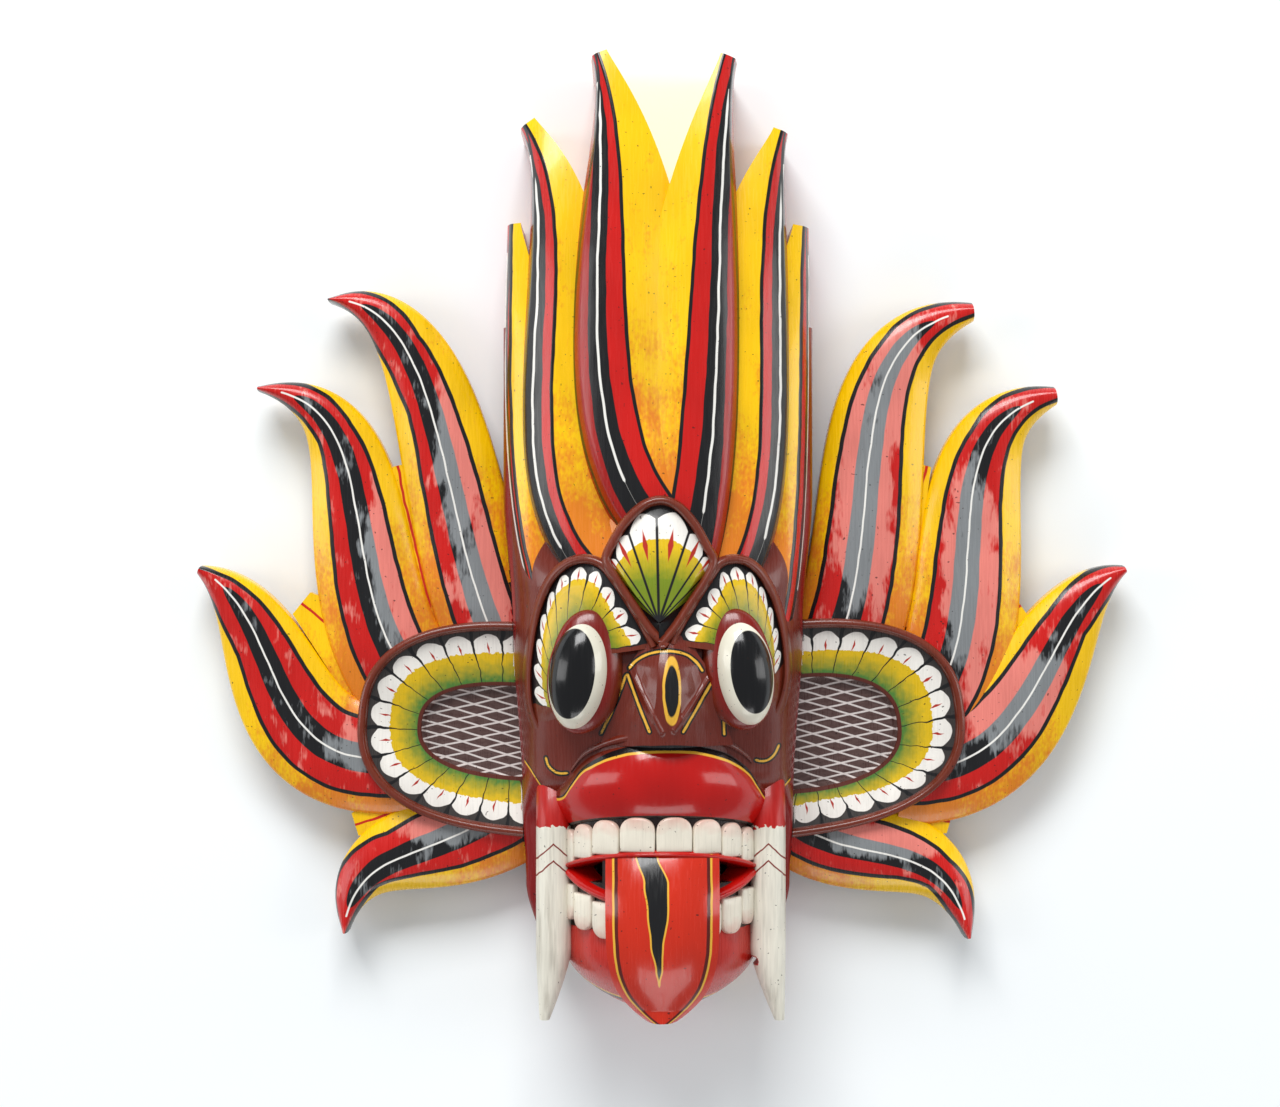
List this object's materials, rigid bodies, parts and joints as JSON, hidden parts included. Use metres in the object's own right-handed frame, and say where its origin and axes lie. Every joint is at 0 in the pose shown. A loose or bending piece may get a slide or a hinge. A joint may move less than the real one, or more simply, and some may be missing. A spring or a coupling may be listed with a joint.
{
  "type": "raksha_mask",
  "caption": "Carved and painted wooden demon mask: hollowed half-log face with bulging eyes, tusks and long tongue, flame crown, and flame-edged ear wings on its sides",
  "frame": {"origin": "In the back plane that the mask lies on, under the middle of its bounding box", "axes": "+X to the viewer's right as the mask is looked at, +Y up to the crown of flames, +Z out of the face"},
  "size_m": [0.3982, 0.402, 0.0859],
  "materials": {
    "face_enamel": "glossy enamel paint over carved light wood, dark red sides with yellow, black and white work",
    "wing_enamel": "glossy enamel paint over carved light wood, yellow, red and black flames with worn pink patches"
  },
  "bodies": {
    "root": {"face_block": "face_enamel", "left_ear_wing": "wing_enamel", "right_ear_wing": "wing_enamel"}
  },
  "joints": []
}
